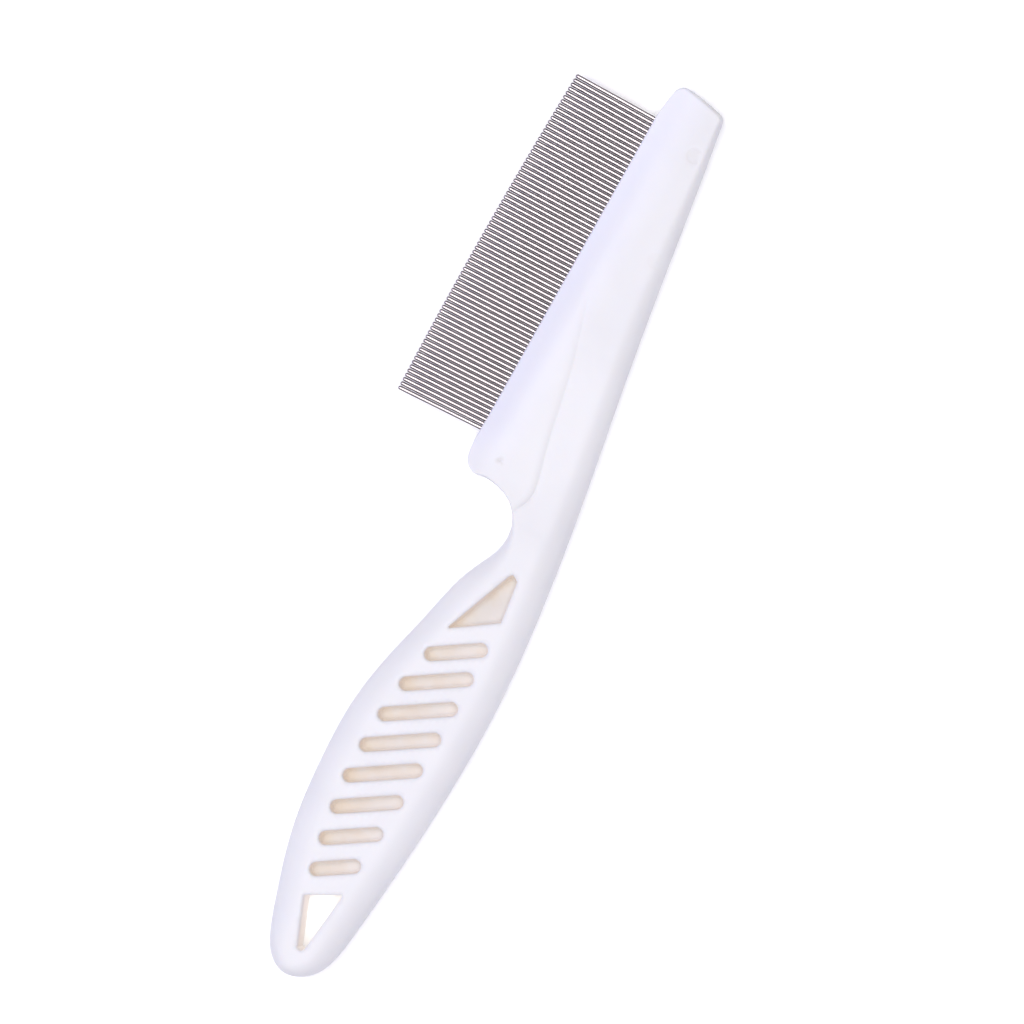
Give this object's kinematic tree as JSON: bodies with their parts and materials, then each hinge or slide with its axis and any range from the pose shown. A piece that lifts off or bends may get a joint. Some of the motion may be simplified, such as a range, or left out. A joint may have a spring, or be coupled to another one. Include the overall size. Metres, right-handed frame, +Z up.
{
  "type": "flea comb",
  "caption": "Flea comb with one row of fine round steel teeth moulded into a flat plastic handle with a finger notch, slotted grip and hang hole.",
  "frame": {"origin": "middle of the comb's outline, on the surface that it lies on", "axes": "+X from the tooth tips towards the spine, +Y along the tooth row from the grip's butt to the head's free tip, +Z up out of the upper broad face"},
  "size_m": [0.0476, 0.1852, 0.0104],
  "materials": {
    "handle_plastic": "white moulded polypropylene, soft satin gloss",
    "tooth_steel": "drawn stainless wire, bright polish"
  },
  "bodies": {
    "root": {"handle": "handle_plastic", "tooth_pins_01_to_03": "tooth_steel", "tooth_pins_04_to_06": "tooth_steel", "tooth_pins_07_to_09": "tooth_steel", "tooth_pins_10_to_12": "tooth_steel", "tooth_pins_13_to_15": "tooth_steel", "tooth_pins_16_to_18": "tooth_steel", "tooth_pins_19_to_21": "tooth_steel", "tooth_pins_22_to_24": "tooth_steel", "tooth_pins_25_to_27": "tooth_steel", "tooth_pins_28_to_30": "tooth_steel", "tooth_pins_31_to_33": "tooth_steel", "tooth_pins_34_to_36": "tooth_steel", "tooth_pins_37_to_39": "tooth_steel", "tooth_pins_40_to_42": "tooth_steel", "tooth_pins_43_to_45": "tooth_steel", "tooth_pins_46_to_48": "tooth_steel", "tooth_pins_49_to_51": "tooth_steel", "tooth_pins_52_to_54": "tooth_steel", "tooth_pins_55_to_57": "tooth_steel", "tooth_pins_58_to_60": "tooth_steel", "tooth_pins_61_to_63": "tooth_steel", "tooth_pins_64_to_66": "tooth_steel", "tooth_pins_67_to_69": "tooth_steel", "tooth_pins_70_to_72": "tooth_steel", "tooth_pins_73_to_75": "tooth_steel"}
  },
  "joints": []
}
